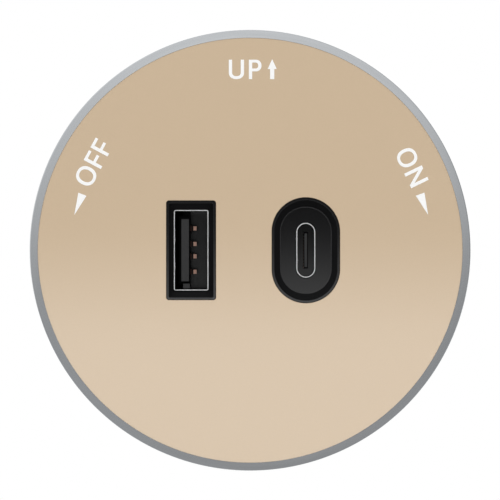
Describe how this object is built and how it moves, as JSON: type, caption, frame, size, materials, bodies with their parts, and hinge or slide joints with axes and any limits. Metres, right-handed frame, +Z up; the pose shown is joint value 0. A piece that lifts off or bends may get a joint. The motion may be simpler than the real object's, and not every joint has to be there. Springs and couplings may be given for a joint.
{
  "type": "track usb socket",
  "caption": "Round USB charging socket for a power track: bezel ring, flat face with USB-A and USB-C ports, and a rear twist-lock plug that turns from OFF to ON.",
  "frame": {"origin": "on the axis of the disc, in the plane where the rear cover seats on the track", "axes": "+Y into the track, the plug points along it; +Z up, the top of the face as its marks are read at OFF; +X right as the face is read"},
  "size_m": [0.071, 0.0415, 0.071],
  "materials": {
    "bezel": "satin anodised",
    "face": "champagne anodised, fine matt",
    "housing": "fine spark texture",
    "port_black": "smooth moulded",
    "port_shell": "nickel plated",
    "port_tongue": "glass filled, satin",
    "port_contact": "copper alloy, bright",
    "circuit_board": "solder mask",
    "ferrite": "matt ground",
    "bobbin": "moulded",
    "tape": "polyester tape",
    "copper_wire": "enamelled",
    "capacitor_can": "sleeved",
    "x_capacitor_case": "moulded box",
    "y_capacitor_coat": "dipped epoxy",
    "fuse_case": "moulded",
    "chip_case": "moulded epoxy",
    "screw_steel": "zinc plated",
    "spring_steel": "drawn",
    "shoe": "glass filled, satin",
    "plug": "glass filled, satin",
    "track_contact": "tin bronze, bright",
    "lead_live": "wire insulation, brown",
    "lead_neutral": "wire insulation, blue",
    "lead_earth": "wire insulation, green and yellow"
  },
  "bodies": {
    "shoe": {"guide_shoe": "shoe"},
    "housing": {"bezel_ring": "bezel", "face_plate": "face", "front_shell": "housing", "usb_a_frame": "port_black", "usb_a_shell": "port_shell", "usb_a_insulator": "port_tongue", "usb_a_contacts": "port_contact", "usb_c_frame": "port_black", "usb_c_shell": "port_shell", "usb_c_insulator": "port_tongue", "usb_c_contacts": "port_contact", "main_board": "circuit_board", "transformer_core": "ferrite", "transformer_bobbin": "bobbin", "transformer_winding": "tape", "bulk_capacitors": "capacitor_can", "output_capacitors": "capacitor_can", "x_capacitor": "x_capacitor_case", "y_capacitor": "y_capacitor_coat", "fuse": "fuse_case", "choke_core": "ferrite", "choke_windings": "copper_wire", "inductor_core": "ferrite", "inductor_winding": "copper_wire", "bridge_rectifier": "chip_case", "primary_controller": "chip_case", "sync_rectifier": "chip_case", "protocol_chip": "chip_case", "board_screws": "screw_steel", "rear_cover": "housing", "cover_screws": "screw_steel", "detent_spring": "spring_steel", "plug_head": "plug", "plug_cap": "plug", "cap_screws": "screw_steel", "stem_screws": "screw_steel", "live_terminal": "track_contact", "neutral_terminal": "track_contact", "earth_terminal": "track_contact", "live_spring": "spring_steel", "neutral_spring": "spring_steel", "earth_spring": "spring_steel", "live_lead": "lead_live", "neutral_lead": "lead_neutral", "earth_lead": "lead_earth"},
    "live_plunger": {"live_contact": "track_contact"},
    "neutral_plunger": {"neutral_contact": "track_contact"},
    "earth_plunger": {"earth_contact": "track_contact"}
  },
  "joints": [
    {"name": "twist", "type": "hinge", "parent": "shoe", "child": "housing", "pos_m": [0, 0, 0], "axis": [0, 1, 0], "range_deg": [0, 90], "deforming": ["detent_spring"]},
    {"name": "live_press", "type": "slide", "parent": "housing", "child": "live_plunger", "axis": [-1, 0, 0], "range_m": [0, 0.001], "stiffness_N_per_m": 2000, "springref_m": -0.001, "deforming": ["live_spring"]},
    {"name": "neutral_press", "type": "slide", "parent": "housing", "child": "neutral_plunger", "axis": [1, 0, 0], "range_m": [0, 0.001], "stiffness_N_per_m": 2000, "springref_m": -0.001, "deforming": ["neutral_spring"]},
    {"name": "earth_press", "type": "slide", "parent": "housing", "child": "earth_plunger", "axis": [0, -1, 0], "range_m": [0, 0.0012], "stiffness_N_per_m": 2000, "springref_m": -0.001, "deforming": ["earth_spring"]}
  ]
}
